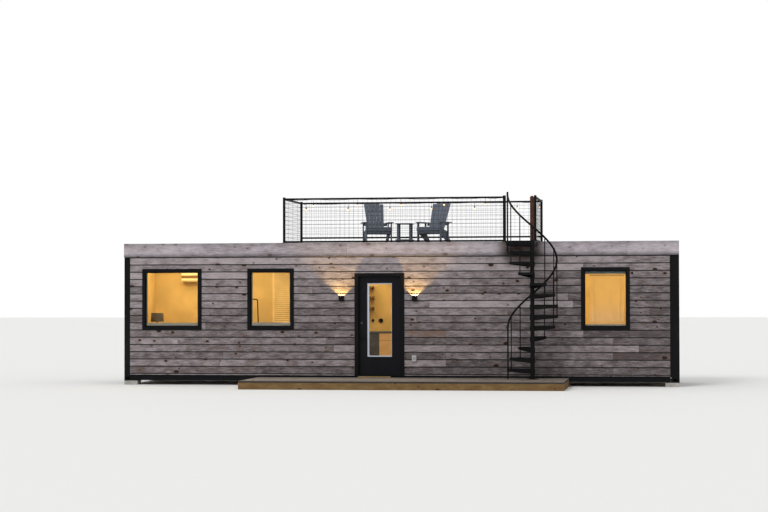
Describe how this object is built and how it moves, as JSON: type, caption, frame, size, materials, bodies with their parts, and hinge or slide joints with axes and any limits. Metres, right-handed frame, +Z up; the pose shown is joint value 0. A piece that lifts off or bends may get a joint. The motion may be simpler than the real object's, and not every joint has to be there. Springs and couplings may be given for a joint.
{
  "type": "shipping container cabin",
  "caption": "Shipping container cabin with a boarded front, glazed door, windows, wooden porch, spiral stair and a railed roof terrace.",
  "frame": {"origin": "centre of the whole footprint, porch included, at ground level", "axes": "+X along the container to the right as seen from its boarded front, +Y from the front to the back, +Z up"},
  "size_m": [12.192, 4.576, 4.1604],
  "materials": {
    "concrete": "rough",
    "black_steel": "satin",
    "plywood": "satin",
    "cladding_wood": "weathered",
    "fascia_wood": "weathered",
    "lining": "matte",
    "frame_paint": "satin",
    "window_glass": "clear",
    "blind_slats": "matte",
    "sill_wood": "weathered",
    "door_paint": "satin",
    "satin_steel": "satin",
    "lamp_black": "matte",
    "outlet_grey": "matte",
    "deck_wood": "weathered",
    "porch_wood": "weathered",
    "porch_rim_wood": "weathered",
    "chair_grey": "matte",
    "cabinet_grey": "satin",
    "shelf_wood": "satin",
    "white_plastic": "gloss",
    "bulb_glass": "clear"
  },
  "bodies": {
    "cabin": {"concrete_piers": "concrete", "base_frame": "black_steel", "floor": "plywood", "corner_posts": "black_steel", "corner_castings": "black_steel", "top_rails": "black_steel", "back_wall": "black_steel", "end_walls": "black_steel", "front_wall": "black_steel", "container_roof": "black_steel", "cladding_left": "cladding_wood", "cladding_right": "cladding_wood", "cladding_head": "cladding_wood", "fascia_boards": "fascia_wood", "inner_linings": "lining", "ceiling": "lining", "window_frame_left": "frame_paint", "window_frame_middle": "frame_paint", "window_frame_right": "frame_paint", "window_glass": "window_glass", "window_blind": "blind_slats", "door_frame": "frame_paint", "door_sill": "sill_wood", "door_hinges": "satin_steel", "sconces": "lamp_black", "outlet_cover": "outlet_grey", "roof_joists": "deck_wood", "roof_deck": "deck_wood", "railing_front": "black_steel", "railing_back": "black_steel", "railing_left": "black_steel", "railing_right": "black_steel", "string_lights": "bulb_glass", "porch_frame": "porch_rim_wood", "porch_boards": "porch_wood", "stair_pole": "black_steel", "stair_treads": "black_steel", "stair_landing": "black_steel", "stair_handrail": "black_steel", "stair_balusters": "black_steel", "chair_left": "chair_grey", "chair_right": "chair_grey", "side_table": "chair_grey", "kitchen_counter": "cabinet_grey", "drawer_fronts": "shelf_wood", "wall_shelves": "cabinet_grey", "wall_air_unit": "white_plastic"},
    "front_door": {"door_leaf": "door_paint", "door_glass": "window_glass", "door_hardware": "lamp_black"}
  },
  "joints": [
    {"name": "door_hinge", "type": "hinge", "parent": "cabin", "child": "front_door", "pos_m": [0.0945, -0.09, 1.3], "axis": [0, 0, -1], "range_deg": [0, 95]}
  ]
}
